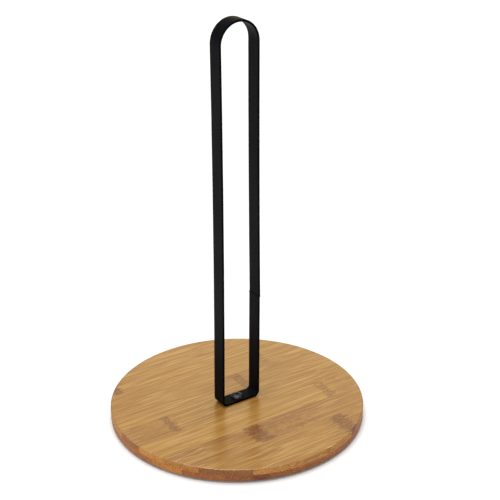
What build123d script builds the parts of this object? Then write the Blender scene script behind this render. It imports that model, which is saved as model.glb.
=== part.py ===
"""Paper towel holder: a round bamboo board with a tall loop of flat steel screwed to its middle.

The board is glued up from two plies of bamboo strips. The loop is one length of flat steel,
bent into a closed hairpin whose ends are butt-welded in the +X leg. One pan-head screw goes
through the loop's foot into a T-nut that is pressed into the board from below.

Millimetres. +Z is up, +X runs along the bamboo's grain and in the plane of the loop, and the
origin is the middle of the holder, level with the underside of its anti-slip pads.
"""
import os

from build123d import *

# Board: two plies of strips, glued edge to edge and face to face
board_diameter = 200.0
ply_thickness = 5.0
strip_width = 24.5
top_joint_y = 9.0  # one glued joint of the top ply; the rest follow at every strip width
bottom_joint_y = -4.5  # the same for the bottom ply, staggered by about half a strip
rim_rounding = 0.8

# Anti-slip pads under the board
pad_diameter = 12.0
pad_thickness = 1.5
pad_rounding = 0.3
pad_ring_radius = 82.0
pad_count = 4

# Loop of flat steel
steel_width = 12.3  # 12 mm stock with its powder coat
steel_thickness = 1.8
steel_edge_rounding = 0.25
loop_height = 307.0  # from the board's top to the outside of the top bend
loop_foot_width = 34.6  # outside width across the foot
top_bend_radius = 17.2  # outside
foot_bend_radius = 4.8  # outside
loop_lean = 0.9  # the top bend stands this far towards +X of the foot
left_leg_bow = 0.75  # the -X leg bows inwards by this much
right_leg_bow = 0.35  # and so does the +X leg above the weld
weld_height = 88.0  # above the board's top
weld_bulge = 0.85  # the +X leg stands this far outwards at the weld
weld_step = 0.3  # below the weld the leg sits this much further in

# Weld seam that closes the loop
weld_length = 1.4
weld_crown_outside = 0.12
weld_crown_inside = 0.3

# Pan-head screw, M5 x 10, with a cross recess
screw_diameter = 5.0
screw_length = 10.0
head_diameter = 10.0
head_height = 2.6
head_rim_height = 0.7
recess_span = 5.2
recess_slot_width = 1.1
recess_depth = 1.7
recess_floor_scale = 0.45
recess_angle = 40.0
tip_chamfer = 0.6

# T-nut
flange_diameter = 17.0
flange_thickness = 1.2
flange_recess_depth = 1.5  # pocket in the board's underside
flange_pocket_clearance = 0.5
barrel_diameter = 6.5
t_nut_height = 8.0
prong_count = 4
prong_ring_radius = 7.0
prong_width = 2.4
prong_thickness = 1.0
prong_length = 3.2

# Clearances on radius
loop_hole_clearance = 0.08  # the loop turns about the screw
thread_clearance = 0.02
barrel_clearance = 0.05

# Derived levels and radii
board_radius = board_diameter / 2
board_bottom = pad_thickness
ply_joint = board_bottom + ply_thickness
board_top = ply_joint + ply_thickness
foot_top = board_top + steel_thickness
flange_top = board_bottom + flange_recess_depth
flange_bottom = flange_top - flange_thickness
board_bore_radius = barrel_diameter / 2 + barrel_clearance
cut_margin = 1.0  # cutting bodies run this far past the faces that they cut


def save(piece, name):
    """Label the piece and write its STEP file."""
    piece.part.label = name
    export_step(piece.part, f"parts/{name}.step")


def strip_edges(joint_y):
    """Y of every long edge of one ply's strips, from the -Y rim to the +Y rim."""
    joints_below = int((board_radius + joint_y) // strip_width)
    first_joint = joint_y - joints_below * strip_width
    edges = [-board_radius]
    joint = first_joint
    while joint < board_radius:
        edges.append(joint)
        joint += strip_width
    edges.append(board_radius)
    return edges


def ply_strip(low_y, high_y, level, is_top):
    """One bamboo strip of a ply: the slice of the round board between two long joints."""
    centre_y = (low_y + high_y) / 2
    with BuildPart() as strip:
        with BuildSketch(Plane.XY.offset(level)):
            Circle(board_radius)
        extrude(amount=ply_thickness)
        rims = strip.edges().group_by(Axis.Z)
        fillet(rims[-1] if is_top else rims[0], rim_rounding)
        with Locations((0, centre_y, level + ply_thickness / 2)):
            Box(board_diameter + cut_margin, high_y - low_y, ply_thickness + cut_margin, mode=Mode.INTERSECT)
        if low_y < board_bore_radius and high_y > -board_bore_radius:
            with Locations((0, 0, level + ply_thickness / 2)):
                Cylinder(board_bore_radius, ply_thickness + cut_margin, mode=Mode.SUBTRACT)
        pocket_radius = flange_diameter / 2 + flange_pocket_clearance
        if not is_top and low_y < pocket_radius and high_y > -pocket_radius:
            with BuildSketch(Plane.XY.offset(board_bottom)):
                Circle(pocket_radius)
            extrude(amount=flange_recess_depth, mode=Mode.SUBTRACT)
    return strip


def ply(name, level, joint_y, is_top):
    """All the strips of one ply, numbered from -Y to +Y."""
    edges = strip_edges(joint_y)
    for number, (low_y, high_y) in enumerate(zip(edges, edges[1:]), start=1):
        save(ply_strip(low_y, high_y, level, is_top), f"{name}_{number}")


def foot_pads():
    """Round anti-slip pads under the board, each its own piece."""
    ring = PolarLocations(pad_ring_radius, pad_count, start_angle=45)
    for number, place in enumerate(ring, start=1):
        with BuildPart() as pad:
            with Locations(place.position):
                Cylinder(
                    pad_diameter / 2,
                    pad_thickness,
                    align=(Align.CENTER, Align.CENTER, Align.MIN),
                )
            fillet(pad.edges().group_by(Axis.Z)[0], pad_rounding)
        save(pad, f"foot_pad_{number}")


def loop_strip():
    """The flat steel loop, open only where the weld seam joins its two ends."""
    bend_base = board_top + loop_height - top_bend_radius
    corner_top = board_top + foot_bend_radius
    weld_z = board_top + weld_height
    with BuildPart() as loop:
        with BuildSketch(Plane.XZ):
            for inset, mode in ((0.0, Mode.ADD), (steel_thickness, Mode.SUBTRACT)):
                foot_x = loop_foot_width / 2 - inset
                bend = top_bend_radius - inset
                corner = foot_bend_radius - inset
                foot_z = board_top + inset
                left_top = (loop_lean - bend, bend_base)
                right_top = (loop_lean + bend, bend_base)
                left_corner = (-foot_x, corner_top)
                right_corner = (foot_x, corner_top)
                left_middle = (
                    (left_top[0] + left_corner[0]) / 2 + left_leg_bow,
                    (bend_base + corner_top) / 2,
                )
                upper_end = (weld_x(weld_z) - inset, weld_z + weld_length / 4)
                lower_end = (upper_end[0] - weld_step, weld_z - weld_length / 4)
                right_middle = (
                    (right_top[0] + upper_end[0]) / 2 - right_leg_bow,
                    (bend_base + weld_z) / 2,
                )
                with BuildLine():
                    Line((corner - foot_x, foot_z), (foot_x - corner, foot_z))
                    RadiusArc((foot_x - corner, foot_z), right_corner, -corner)
                    Line(right_corner, lower_end)
                    Line(lower_end, upper_end)
                    ThreePointArc(upper_end, right_middle, right_top)
                    ThreePointArc(right_top, (loop_lean, bend_base + bend), left_top)
                    ThreePointArc(left_top, left_middle, left_corner)
                    RadiusArc(left_corner, (corner - foot_x, foot_z), -corner)
                make_face(mode=mode)
        extrude(amount=steel_width / 2, both=True)
        fillet(loop.faces().filter_by(Axis.Y).edges(), steel_edge_rounding)
        with Locations((0, 0, board_top + steel_thickness / 2)):
            hole_radius = screw_diameter / 2 + loop_hole_clearance
            Cylinder(hole_radius, steel_thickness + cut_margin, mode=Mode.SUBTRACT)
        with Locations((weld_x(weld_z), 0, weld_z)):
            Box(4 * steel_thickness, steel_width + cut_margin, weld_length, mode=Mode.SUBTRACT)
    return loop


def weld_x(weld_z):
    """X of the +X leg's outer face at the weld."""
    bend_base = board_top + loop_height - top_bend_radius
    corner_top = board_top + foot_bend_radius
    share = (weld_z - corner_top) / (bend_base - corner_top)
    straight_x = loop_foot_width / 2 * (1 - share) + (loop_lean + top_bend_radius) * share
    return straight_x + weld_bulge


def weld_seam():
    """The weld metal between the loop's ends, a little proud of both faces of the steel."""
    weld_z = board_top + weld_height
    outside = weld_x(weld_z)
    inside = outside - steel_thickness
    low = weld_z - weld_length / 2
    high = weld_z + weld_length / 2
    low_outside = (outside - weld_step, low)
    low_inside = (inside - weld_step, low)
    outer_crown = (outside - weld_step / 2 + weld_crown_outside, weld_z)
    inner_crown = (inside - weld_step / 2 - weld_crown_inside, weld_z)
    with BuildPart() as seam:
        with BuildSketch(Plane.XZ):
            with BuildLine():
                Line(low_inside, low_outside)
                ThreePointArc(low_outside, outer_crown, (outside, high))
                Line((outside, high), (inside, high))
                ThreePointArc((inside, high), inner_crown, low_inside)
            make_face()
        extrude(amount=steel_width / 2, both=True)
    return seam


def screw():
    """Pan-head machine screw with a cross recess, standing on the loop's foot."""
    shank_radius = screw_diameter / 2
    head_radius = head_diameter / 2
    head_top = foot_top + head_height
    rim_top = foot_top + head_rim_height
    tip = foot_top - screw_length
    with BuildPart() as body:
        with BuildSketch(Plane.XZ):
            with BuildLine():
                Line((0, head_top), (0, tip))
                Line((0, tip), (shank_radius - tip_chamfer, tip))
                Line((shank_radius - tip_chamfer, tip), (shank_radius, tip + tip_chamfer))
                Line((shank_radius, tip + tip_chamfer), (shank_radius, foot_top))
                Line((shank_radius, foot_top), (head_radius, foot_top))
                Line((head_radius, foot_top), (head_radius, rim_top))
                EllipticalCenterArc((0, rim_top), head_radius, head_height - head_rim_height)
            make_face()
        revolve(axis=Axis.Z)
        with BuildSketch(Plane.XY.offset(head_top)):
            with Locations(Rotation(0, 0, recess_angle)):
                Rectangle(recess_span, recess_slot_width)
                Rectangle(recess_slot_width, recess_span)
        with BuildSketch(Plane.XY.offset(head_top - recess_depth)):
            with Locations(Rotation(0, 0, recess_angle)):
                Rectangle(recess_span * recess_floor_scale, recess_slot_width * recess_floor_scale)
                Rectangle(recess_slot_width * recess_floor_scale, recess_span * recess_floor_scale)
        loft(mode=Mode.SUBTRACT)
    return body


def t_nut():
    """T-nut pressed into the board's underside, with prongs that bite into the bottom ply."""
    with BuildPart() as nut:
        with BuildSketch(Plane.XY.offset(flange_bottom)):
            Circle(flange_diameter / 2)
        extrude(amount=flange_thickness)
        with BuildSketch(Plane.XY.offset(flange_bottom)):
            Circle(barrel_diameter / 2)
        extrude(amount=t_nut_height)
        with BuildSketch(Plane.XY.offset(flange_top)):
            with PolarLocations(prong_ring_radius, prong_count):
                Rectangle(prong_thickness, prong_width)
        extrude(amount=prong_length)
        with Locations((0, 0, flange_bottom + t_nut_height / 2)):
            Cylinder(
                screw_diameter / 2 + thread_clearance,
                t_nut_height + cut_margin,
                mode=Mode.SUBTRACT,
            )
    return nut


def main():
    os.makedirs("parts", exist_ok=True)
    ply("base_bottom_strip", board_bottom, bottom_joint_y, is_top=False)
    ply("base_top_strip", ply_joint, top_joint_y, is_top=True)
    foot_pads()
    save(loop_strip(), "loop_strip")
    save(weld_seam(), "weld_seam")
    save(screw(), "screw")
    save(t_nut(), "t_nut")


main()
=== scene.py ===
"""Looks of the paper towel holder: bamboo board, black flat-steel loop, screw, T-nut and pads.

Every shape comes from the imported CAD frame; this script gives each node its material and sets
up the floor, the light and the camera. Metres, same frame as the CAD: +Z up, +X along the
bamboo's grain and in the plane of the loop.
"""
import math
import random

import bpy
from mathutils import Matrix, Vector


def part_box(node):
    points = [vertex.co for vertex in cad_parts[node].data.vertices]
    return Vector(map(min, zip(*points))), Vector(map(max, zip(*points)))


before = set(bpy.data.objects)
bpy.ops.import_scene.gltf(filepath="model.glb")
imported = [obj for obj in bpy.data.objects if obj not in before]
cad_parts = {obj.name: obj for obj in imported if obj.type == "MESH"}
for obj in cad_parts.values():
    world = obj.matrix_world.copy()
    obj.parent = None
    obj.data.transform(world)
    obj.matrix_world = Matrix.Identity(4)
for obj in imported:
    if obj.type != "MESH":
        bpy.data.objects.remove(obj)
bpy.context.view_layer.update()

MM = 0.001

# Camera, in a frame whose Y axis points from the camera over the holder
CAMERA_TURN = math.radians(-33.87)  # from that frame to the CAD frame, about Z
CAMERA_PLACE = Vector((5.3, -876.9, 540.4)) * MM
CAMERA_PITCH = math.radians(24.49)
CAMERA_YAW = math.radians(-0.36)
CAMERA_ROLL = math.radians(-0.23)
CAMERA_LENS = 92.13
SENSOR_WIDTH = 36.0


class Graph:
    """Short ways to add shader nodes to one material."""

    def __init__(self, name):
        self.material = bpy.data.materials.new(name)
        self.material.use_nodes = True
        self.tree = self.material.node_tree
        self.shader = self.tree.nodes["Principled BSDF"]

    def node(self, kind, **settings):
        made = self.tree.nodes.new(kind)
        for key, value in settings.items():
            setattr(made, key, value)
        return made

    def feed(self, socket, value):
        """Link value into socket if it is an output, or set it if it is a number or colour."""
        if isinstance(value, bpy.types.NodeSocket):
            self.tree.links.new(value, socket)
        else:
            socket.default_value = value

    def math(self, operation, a, b=0.0, clamp=False):
        made = self.node("ShaderNodeMath", operation=operation, use_clamp=clamp)
        self.feed(made.inputs[0], a)
        self.feed(made.inputs[1], b)
        return made.outputs[0]

    def mapped(self, vector, scale, offset=(0.0, 0.0, 0.0)):
        made = self.node("ShaderNodeMapping")
        self.feed(made.inputs["Vector"], vector)
        made.inputs["Location"].default_value = offset
        made.inputs["Scale"].default_value = scale
        return made.outputs[0]

    def noise(self, vector, scale=1.0, detail=2.0, roughness=0.5, distortion=0.0):
        made = self.node("ShaderNodeTexNoise")
        self.feed(made.inputs["Vector"], vector)
        made.inputs["Scale"].default_value = scale
        made.inputs["Detail"].default_value = detail
        made.inputs["Roughness"].default_value = roughness
        made.inputs["Distortion"].default_value = distortion
        return made.outputs["Fac"]

    def remap(self, value, low, high, to_low=0.0, to_high=1.0, smooth=True):
        made = self.node("ShaderNodeMapRange")
        made.interpolation_type = "SMOOTHSTEP" if smooth else "LINEAR"
        self.feed(made.inputs["Value"], value)
        self.feed(made.inputs["From Min"], low)
        self.feed(made.inputs["From Max"], high)
        self.feed(made.inputs["To Min"], to_low)
        self.feed(made.inputs["To Max"], to_high)
        return made.outputs["Result"]

    def mix(self, factor, a, b, blend="MIX"):
        made = self.node("ShaderNodeMix", data_type="RGBA", blend_type=blend)
        self.feed(made.inputs["Factor"], factor)
        self.feed(made.inputs["A"], with_alpha(a))
        self.feed(made.inputs["B"], with_alpha(b))
        return made.outputs["Result"]

    def bump(self, height, strength, distance):
        made = self.node("ShaderNodeBump")
        made.inputs["Strength"].default_value = strength
        made.inputs["Distance"].default_value = distance
        self.feed(made.inputs["Height"], height)
        return made.outputs["Normal"]

    def object_point(self):
        return self.node("ShaderNodeTexCoord").outputs["Object"]

    def split(self, vector):
        made = self.node("ShaderNodeSeparateXYZ")
        self.feed(made.inputs[0], vector)
        return made.outputs

    def normal(self):
        return self.node("ShaderNodeNewGeometry").outputs["Normal"]


def with_alpha(colour):
    """A three-number colour as the four numbers that a colour socket takes."""
    if isinstance(colour, tuple) and len(colour) == 3:
        return (*colour, 1.0)
    return colour


def linear(red, green, blue):
    """A colour given as 0-255 display values, as the linear values that shaders use."""
    def one(value):
        share = value / 255
        return share / 12.92 if share <= 0.04045 else ((share + 0.055) / 1.055) ** 2.4
    return (one(red), one(green), one(blue))


def give(node, material):
    """Show a CAD node in this material alone."""
    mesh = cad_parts[node].data
    mesh.materials.clear()
    mesh.materials.append(material)


# Bamboo -------------------------------------------------------------------------------------

LIGHT_WOOD = linear(170, 122, 44)
DARK_WOOD = linear(126, 74, 14)
PALE_FIBRE = linear(200, 162, 100)
KNOT_WOOD = linear(104, 48, 2)
BROWN_WOOD = linear(124, 68, 6)
GLUE_LINE = linear(120, 74, 32)
RIM_TINT = (1.28, 1.08, 0.74)
# Bottom ply: partly its own deeper, more saturated tone and partly painted shade, as its lower
# edge gets less light
BOTTOM_TONE_AND_SHADE = (0.90, 0.76, 0.64)
NO_TINT = (1.0, 1.0, 1.0)

KNOT_WOBBLE = 17 * MM  # how far a culm node's edges stray along the grain
FIBRE_WANDER = 4 * MM  # across the grain
KNOT_CURL = 9 * MM  # how far fibres bend aside at a culm node
LINE_FADE = 8  # mm, half the length over which a single line fades in and out
GLUE_LINE_WIDTH = 0.35 * MM  # from the strip's edge
GLUE_LINE_CORE = 0.1 * MM


def pulled(g, point, along, across, offset, **settings):
    """Noise drawn out along the grain; along and across are features per metre."""
    return g.noise(g.mapped(point, (along, across, across), offset), **settings)


def knot_band(g, axis, point, offset, knots):
    """How strongly each point belongs to a culm node, from 0 to 1."""
    wobble = pulled(g, point, 40, 420, offset, detail=3.0, roughness=0.7)
    shift = g.math("MULTIPLY", g.math("SUBTRACT", wobble, 0.5), KNOT_WOBBLE)
    along = g.math("ADD", axis["X"], shift)
    band = 0.0
    for knot_x, strength, half_length in knots:
        distance = g.math("ABSOLUTE", g.math("SUBTRACT", along, knot_x * MM))
        inner = 0.4 * half_length * MM
        band = g.math("MAXIMUM", band, g.remap(distance, half_length * MM, inner, 0.0, strength))
    return band


def bend_fibres(g, axis, point, offset, band):
    """The point's coordinates with the fibres' wander, and their curl around the knots."""
    wander = pulled(g, point, 12, 36, offset, detail=1.0)
    curl = g.noise(g.mapped(point, (260, 260, 260), offset), detail=3.0, roughness=0.65)
    wander_shift = g.math("MULTIPLY", g.math("SUBTRACT", wander, 0.5), FIBRE_WANDER)
    curl_reach = g.math("MULTIPLY", band, KNOT_CURL)
    curl_shift = g.math("MULTIPLY", g.math("SUBTRACT", curl, 0.5), curl_reach)
    shift = g.math("ADD", wander_shift, curl_shift)
    bent = g.node("ShaderNodeCombineXYZ")
    g.feed(bent.inputs["X"], axis["X"])
    g.feed(bent.inputs["Y"], g.math("ADD", axis["Y"], shift))
    g.feed(bent.inputs["Z"], g.math("ADD", axis["Z"], shift))
    return bent.outputs[0]


def brown_stretches(g, colour, axis, point, offset, zones):
    """Stretches of the strip that are browner, with a mottled figure."""
    figure = g.noise(
        g.mapped(point, (150, 330, 330), offset), detail=3.0, roughness=0.6, distortion=1.5
    )
    mottle = g.remap(figure, 0.40, 0.60, 0.3, 1.0)
    for start, end, fade, strength in zones:
        rise = g.remap(axis["X"], (start - fade) * MM, (start + fade) * MM, 0.0, strength)
        fall = g.remap(axis["X"], (end - fade) * MM, (end + fade) * MM, 1.0, 0.0)
        amount = g.math("MULTIPLY", g.math("MULTIPLY", rise, fall), mottle)
        colour = g.mix(amount, colour, BROWN_WOOD)
    return colour


def long_lines(g, colour, axis, fibre_axis, lines):
    """Single lines along the grain: (y, from x, to x in mm, half width in mm, strength).

    A positive strength is a dark line and a negative one a pale line.
    """
    for line_y, start, end, half_width, strength in lines:
        distance = g.math("ABSOLUTE", g.math("SUBTRACT", fibre_axis["Y"], line_y * MM))
        across = g.remap(distance, half_width * MM, 0.0, 0.0, abs(strength))
        rise = g.remap(axis["X"], (start - LINE_FADE) * MM, (start + LINE_FADE) * MM)
        fall = g.remap(axis["X"], (end - LINE_FADE) * MM, (end + LINE_FADE) * MM, 1.0, 0.0)
        amount = g.math("MULTIPLY", across, g.math("MULTIPLY", rise, fall))
        colour = g.mix(amount, colour, BROWN_WOOD if strength > 0 else LIGHT_WOOD)
    return colour


def knot_marks(g, colour, fibre_point, point, offset, band):
    """Dark squiggles and a brown stain where a culm node crosses the strip."""
    stain = g.math("MULTIPLY", band, 0.25)
    colour = g.mix(stain, colour, KNOT_WOOD)
    squiggle = g.noise(
        g.mapped(point, (260, 420, 420), offset), detail=2.0, roughness=0.5, distortion=2.0
    )
    off_line = g.math("ABSOLUTE", g.math("SUBTRACT", squiggle, 0.5))
    line = g.math("MULTIPLY", g.remap(off_line, 0.055, 0.025), g.remap(band, 0.02, 0.3))
    speck = pulled(g, fibre_point, 210, 1000, offset, detail=3.0, roughness=0.65)
    spot = g.math("MULTIPLY", g.remap(speck, 0.49, 0.53), g.remap(band, 0.05, 0.4))
    mark = g.math("MULTIPLY", g.math("MAXIMUM", line, spot), g.remap(band, 0.0, 0.7, 0.0, 0.9))
    return g.mix(mark, colour, KNOT_WOOD)


def glue_lines(g, colour, axis, node):
    """Hairlines where the strip is glued to its neighbours."""
    low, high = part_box(node)
    to_edge = g.math(
        "MINIMUM",
        g.math("SUBTRACT", axis["Y"], low.y),
        g.math("SUBTRACT", high.y, axis["Y"]),
    )
    amount = g.remap(to_edge, GLUE_LINE_WIDTH, GLUE_LINE_CORE, 0.0, 0.35)
    return g.mix(amount, colour, GLUE_LINE)


def end_grain(g, colour, axis, facing, side, rim):
    """The rim is deeper and redder, and each end of the strip has its own tone."""
    cut_across = g.remap(g.math("ABSOLUTE", facing["X"]), 0.1, 0.9, 0.6, 1.0)
    tone = g.remap(axis["X"], -4 * MM, 4 * MM, rim[0], rim[1])
    shade = g.node("ShaderNodeCombineColor")
    for channel, power in (("Red", 0.85), ("Green", 1.2), ("Blue", 1.5)):
        g.feed(shade.inputs[channel], g.math("POWER", tone, power))
    deeper = g.mix(1.0, g.mix(1.0, colour, RIM_TINT, "MULTIPLY"), shade.outputs[0], "MULTIPLY")
    return g.mix(g.math("MULTIPLY", side, cut_across), colour, deeper)


def bamboo(node, seed, tone, knots=(), zones=(), lines=(), rim=(1.0, 1.0), tint_and_shade=NO_TINT):
    """Lacquered bamboo for one strip.

    tone: 0 is the lightest strip and 1 the darkest.
    knots: (x in mm, strength, half length in mm) of each culm node that crosses the strip.
    zones: (from x, to x, fade in mm, strength) of stretches that are browner.
    lines: single lines along the grain, as long_lines takes them.
    rim: brightness of the strip's -X and +X ends.
    tint_and_shade: what the strip's whole colour is multiplied by; for the bottom ply this is
    partly the ply's own deeper tone and partly painted shade for its less lit lower edge.
    """
    g = Graph(f"bamboo_{node}")
    point = g.object_point()
    axis = g.split(point)
    dice = random.Random(seed)
    offset = tuple(dice.uniform(-3, 3) for _ in range(3))
    band = knot_band(g, axis, point, offset, knots)
    fibre_point = bend_fibres(g, axis, point, offset, band)

    # broad bands, fibres, fine fibres and a slow drift, all drawn out along the grain
    layers = (
        (pulled(g, fibre_point, 5, 150, offset, detail=2.0), 0.6),
        (pulled(g, fibre_point, 9, 520, offset, detail=3.0, roughness=0.65), 1.2),
        (pulled(g, fibre_point, 22, 1700, offset, detail=2.0, roughness=0.6), 1.5),
        (pulled(g, point, 14, 26, offset, detail=2.0), 0.5),
    )
    level = 0.0
    for layer, weight in layers:
        level = g.math("ADD", g.math("MULTIPLY", g.math("SUBTRACT", layer, 0.5), weight), level)
    grain = g.math("ADD", level, tone, clamp=True)
    colour = g.mix(grain, LIGHT_WOOD, DARK_WOOD)
    vessel = pulled(g, fibre_point, 16, 1900, offset, detail=1.0)
    colour = g.mix(g.remap(vessel, 0.56, 0.70, 0.0, 0.6), colour, DARK_WOOD)
    colour = g.mix(g.remap(vessel, 0.47, 0.34, 0.0, 0.6), colour, PALE_FIBRE)

    colour = brown_stretches(g, colour, axis, point, offset, zones)
    colour = long_lines(g, colour, axis, g.split(fibre_point), lines)
    if knots:
        colour = knot_marks(g, colour, fibre_point, point, offset, band)
    colour = glue_lines(g, colour, axis, node)
    facing = g.split(g.normal())
    side = g.remap(g.math("ABSOLUTE", facing["Z"]), 0.75, 0.25)
    colour = end_grain(g, colour, axis, facing, side, rim)
    g.feed(g.shader.inputs["Base Color"], g.mix(1.0, colour, tint_and_shade, "MULTIPLY"))

    satin = pulled(g, point, 90, 240, offset, detail=3.0)
    face_roughness = g.remap(satin, 0.25, 0.75, 0.30, 0.42)
    rougher_side = g.math("MULTIPLY", side, 0.25)
    g.feed(g.shader.inputs["Roughness"], g.math("ADD", face_roughness, rougher_side))
    g.feed(g.shader.inputs["Coat Weight"], g.remap(side, 0.0, 1.0, 0.5, 0.0))
    g.shader.inputs["Coat Roughness"].default_value = 0.2
    g.feed(g.shader.inputs["Normal"], g.bump(level, 0.2, 0.06 * MM))
    give(node, g.material)


# From the -Y rim to the +Y rim
TOP_STRIPS = (
    dict(tone=0.45, rim=(1.05, 1.0)),
    dict(tone=0.42, knots=((48, 0.85, 8),), zones=((34, 68, 8, 0.45),), rim=(0.44, 0.85)),
    dict(
        tone=0.56,
        knots=((-15, 1.0, 9),),
        zones=((-12, 38, 14, 0.7), (-80, -24, 10, 0.15)),
        rim=(0.95, 0.8),
    ),
    dict(tone=0.30, knots=((66, 0.4, 6),), zones=((74, 100, 8, 0.4),), rim=(1.0, 0.8)),
    dict(tone=0.45, knots=((-63, 0.55, 5),), zones=((-100, -64, 6, 0.35),), rim=(0.66, 0.9)),
    dict(tone=0.40, knots=((18, 0.6, 6),), zones=((-18, 100, 4, 0.15),), rim=(0.95, 0.9)),
    dict(
        tone=0.35,
        knots=((52, 0.35, 6),),
        lines=((56.6, -60, 50, 0.7, 0.8), (54.2, -50, 20, 0.6, 0.6), (52.0, -30, 40, 0.5, 0.4)),
        rim=(1.0, 0.9),
    ),
    dict(tone=0.42, knots=((-74, 0.6, 6),), rim=(0.9, 0.9)),
    dict(tone=0.45, rim=(0.95, 0.9)),
)
BOTTOM_STRIPS = (
    dict(tone=0.8, knots=((-40, 0.9, 8),), rim=(0.66, 0.85)),
    dict(tone=0.6, zones=((-90, -40, 15, 0.5),), rim=(0.9, 0.8)),
    dict(tone=0.3, rim=(1.1, 0.85)),
    dict(tone=0.6, knots=((30, 0.8, 7),), rim=(0.95, 0.85)),
    dict(tone=0.4, knots=((-45, 0.6, 7),), rim=(0.9, 0.9)),
    dict(tone=0.55, rim=(0.85, 0.8)),
    dict(tone=0.35, knots=((10, 0.7, 7),), rim=(0.9, 0.85)),
    dict(tone=0.6, zones=((-30, 30, 15, 0.5),), rim=(0.85, 0.9)),
    dict(tone=0.5, rim=(0.9, 0.9)),
)


def make_board():
    for number, look in enumerate(TOP_STRIPS, start=1):
        bamboo(f"base_top_strip_{number}", seed=100 + number, **look)
    # The bottom strips are multiplied by that tone, which carries painted shade as well as the
    # ply's own colour
    for number, look in enumerate(BOTTOM_STRIPS, start=1):
        bamboo(f"base_bottom_strip_{number}", seed=200 + number, tint_and_shade=BOTTOM_TONE_AND_SHADE, **look)


# Metal and rubber ---------------------------------------------------------------------------

COAT_DEEP = (0.0026, 0.0030, 0.0040)
COAT_PALE = (0.0042, 0.0046, 0.0060)
# Near black painted shade for the strip's narrow edges
COAT_EDGE_SHADE = (0.0012, 0.0012, 0.0014)
OXIDE = (0.016, 0.017, 0.017)
OXIDE_RUBBED = (0.085, 0.088, 0.088)
# Near black painted shade inside the screw's cross recess
RECESS_SHADE = (0.001, 0.001, 0.001)
ZINC_DULL = (0.42, 0.43, 0.44)
ZINC_BRIGHT = (0.68, 0.69, 0.7)
RUBBER_DEEP = (0.018, 0.018, 0.018)
RUBBER_PALE = (0.05, 0.05, 0.05)

SCREW_HEAD_RADIUS = 5 * MM
SCREW_CROWN_DROP = 1.1 * MM  # from the head's middle to its edge
SCREW_RECESS_RADIUS = 2.7 * MM


def powder_coat():
    """Fine satin black powder coat, with painted shade that makes the strip's narrow edges
    darker.
    """
    g = Graph("black_powder_coat")
    point = g.object_point()
    grains = g.noise(g.mapped(point, (1900, 1900, 1900)), detail=2.0, roughness=0.6)
    cloud = g.noise(g.mapped(point, (60, 60, 25)), detail=3.0)
    facing = g.split(g.normal())
    # Painted shade: the narrow edges, which face along Y, get a darker colour than the broad
    # faces
    edge_shade = g.remap(g.math("ABSOLUTE", facing["Y"]), 0.3, 0.9)
    face_colour = g.mix(cloud, COAT_DEEP, COAT_PALE)
    g.feed(g.shader.inputs["Base Color"], g.mix(edge_shade, face_colour, COAT_EDGE_SHADE))
    g.feed(g.shader.inputs["Roughness"], g.remap(cloud, 0.3, 0.7, 0.42, 0.52))
    g.shader.inputs["Specular IOR Level"].default_value = 0.03
    g.feed(g.shader.inputs["Normal"], g.bump(grains, 0.35, 0.02 * MM))
    return g.material


def screw_steel():
    """Dark oxidised steel, turned: fine rings about the screw's axis, rubs, and painted shade
    that turns the cross recess near black.
    """
    g = Graph("screw_steel")
    point = g.object_point()
    axis = g.split(point)
    x_squared = g.math("POWER", axis["X"], 2.0)
    y_squared = g.math("POWER", axis["Y"], 2.0)
    radius = g.math("SQRT", g.math("ADD", x_squared, y_squared))
    ring_point = g.node("ShaderNodeCombineXYZ")
    g.feed(ring_point.inputs["X"], g.math("MULTIPLY", radius, 5200.0))
    g.feed(ring_point.inputs["Y"], g.math("MULTIPLY", axis["Z"], 900.0))
    rings = g.noise(ring_point.outputs[0], detail=2.0)
    rub = g.noise(g.mapped(point, (500, 500, 500)), detail=4.0, roughness=0.7)
    colour = g.mix(g.remap(rub, 0.45, 0.7), OXIDE, OXIDE_RUBBED)
    head_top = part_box("screw")[1].z
    share_out = g.math("MULTIPLY", radius, 1 / SCREW_HEAD_RADIUS)
    crown = g.math("MULTIPLY", g.math("POWER", share_out, 2.0), SCREW_CROWN_DROP)
    below_crown = g.math("SUBTRACT", g.math("SUBTRACT", head_top, crown), axis["Z"])
    inside_cross = g.math("LESS_THAN", radius, SCREW_RECESS_RADIUS)
    # Painted shade: below the domed crown and inside the cross, the head is coloured near black
    recess_shade = g.math("MULTIPLY", g.remap(below_crown, 0.05 * MM, 0.3 * MM), inside_cross)
    g.feed(g.shader.inputs["Base Color"], g.mix(recess_shade, colour, RECESS_SHADE))
    g.shader.inputs["Metallic"].default_value = 0.6
    g.feed(g.shader.inputs["Roughness"], g.remap(rub, 0.3, 0.7, 0.3, 0.45))
    g.feed(g.shader.inputs["Normal"], g.bump(rings, 0.2, 0.02 * MM))
    return g.material


def zinc_plate():
    """Bright zinc plating with a fine crystalline mottle."""
    g = Graph("zinc_plate")
    point = g.object_point()
    mottle = g.noise(g.mapped(point, (900, 900, 900)), detail=4.0, roughness=0.65)
    g.feed(g.shader.inputs["Base Color"], g.mix(mottle, ZINC_DULL, ZINC_BRIGHT))
    g.shader.inputs["Metallic"].default_value = 1.0
    g.feed(g.shader.inputs["Roughness"], g.remap(mottle, 0.3, 0.7, 0.25, 0.42))
    g.feed(g.shader.inputs["Normal"], g.bump(mottle, 0.2, 0.02 * MM))
    return g.material


def pad_rubber():
    """Matt dark rubber with a fine foam grain."""
    g = Graph("pad_rubber")
    point = g.object_point()
    grain = g.noise(g.mapped(point, (2200, 2200, 2200)), detail=3.0, roughness=0.7)
    g.feed(g.shader.inputs["Base Color"], g.mix(grain, RUBBER_DEEP, RUBBER_PALE))
    g.feed(g.shader.inputs["Roughness"], g.remap(grain, 0.3, 0.7, 0.7, 0.9))
    g.feed(g.shader.inputs["Normal"], g.bump(grain, 0.5, 0.05 * MM))
    return g.material


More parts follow.
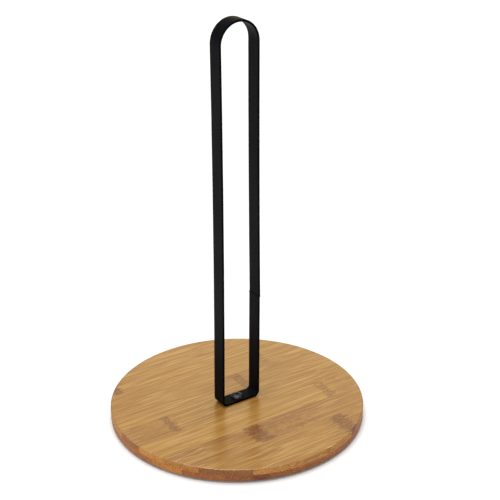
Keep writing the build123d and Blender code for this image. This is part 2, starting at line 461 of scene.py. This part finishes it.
def make_hardware():
    black = powder_coat()
    give("loop_strip", black)
    give("weld_seam", black)
    give("screw", screw_steel())
    give("t_nut", zinc_plate())
    rubber = pad_rubber()
    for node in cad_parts:
        if node.startswith("foot_pad"):
            give(node, rubber)


# Stage --------------------------------------------------------------------------------------

FLOOR_HALF_WIDTH = 6.0
FLOOR_DEEP = (0.90, 0.90, 0.90)
FLOOR_PALE = (0.93, 0.93, 0.93)
WHITE = (1.0, 1.0, 1.0)
WARM = (1.0, 0.82, 0.4)
LIGHTS_AIM = Vector((0.0, 0.0, 0.05))


def make_floor():
    """A plain pale floor, far wider than the view."""
    half = FLOOR_HALF_WIDTH
    mesh = bpy.data.meshes.new("floor")
    corners = [(-half, -half, 0), (half, -half, 0), (half, half, 0), (-half, half, 0)]
    mesh.from_pydata(corners, [], [(0, 1, 2, 3)])
    floor = bpy.data.objects.new("floor", mesh)
    bpy.context.scene.collection.objects.link(floor)
    g = Graph("pale_floor")
    cloud = g.noise(g.mapped(g.object_point(), (3, 3, 3)), detail=2.0)
    g.feed(g.shader.inputs["Base Color"], g.mix(cloud, FLOOR_DEEP, FLOOR_PALE))
    g.shader.inputs["Roughness"].default_value = 0.9
    g.shader.inputs["Specular IOR Level"].default_value = 0.1
    mesh.materials.append(g.material)


def area_light(name, place, size, power, colour):
    """A square softbox that faces the holder."""
    data = bpy.data.lights.new(name, "AREA")
    data.shape = "SQUARE"
    data.size = size
    data.energy = power
    data.color = colour
    hang(data, place)


def hang(data, place):
    """Put a light at a place given in the camera's frame, facing the holder."""
    lamp = bpy.data.objects.new(data.name, data)
    lamp.location = turned(place)
    aim = LIGHTS_AIM - lamp.location
    lamp.rotation_euler = aim.to_track_quat("-Z", "Y").to_euler()
    bpy.context.scene.collection.objects.link(lamp)


def turned(place):
    """A point given in the camera's frame, in the CAD frame."""
    return Matrix.Rotation(CAMERA_TURN, 3, "Z") @ Vector(place)


def make_light():
    """A white room, a broad overhead light, a warm sheen from behind and a fill in front."""
    world = bpy.data.worlds.new("studio")
    world.use_nodes = True
    background = world.node_tree.nodes["Background"]
    background.inputs["Color"].default_value = with_alpha(WHITE)
    background.inputs["Strength"].default_value = 0.40
    bpy.context.scene.world = world
    area_light("back_softbox", place=(0.1, 2.0, 1.0), size=0.9, power=2.8, colour=WARM)
    overhead = bpy.data.lights.new("overhead", "SUN")
    overhead.angle = math.radians(45)
    overhead.energy = 2.45
    hang(overhead, place=(-0.1, 0.2, 1.8))
    area_light("front_fill", place=(-0.3, -1.6, 0.9), size=1.2, power=8.0, colour=WHITE)


def make_camera():
    data = bpy.data.cameras.new("camera")
    data.lens = CAMERA_LENS
    data.sensor_width = SENSOR_WIDTH
    camera = bpy.data.objects.new("camera", data)
    heading = Matrix.Rotation(CAMERA_TURN + CAMERA_YAW, 4, "Z")
    tilt = Matrix.Rotation(math.pi / 2 - CAMERA_PITCH, 4, "X")
    roll = Matrix.Rotation(CAMERA_ROLL, 4, "Z")
    camera.matrix_world = Matrix.Translation(turned(CAMERA_PLACE)) @ heading @ tilt @ roll
    bpy.context.scene.collection.objects.link(camera)
    bpy.context.scene.camera = camera


bpy.context.scene.view_settings.view_transform = "Standard"
make_board()
make_hardware()
make_floor()
make_light()
make_camera()
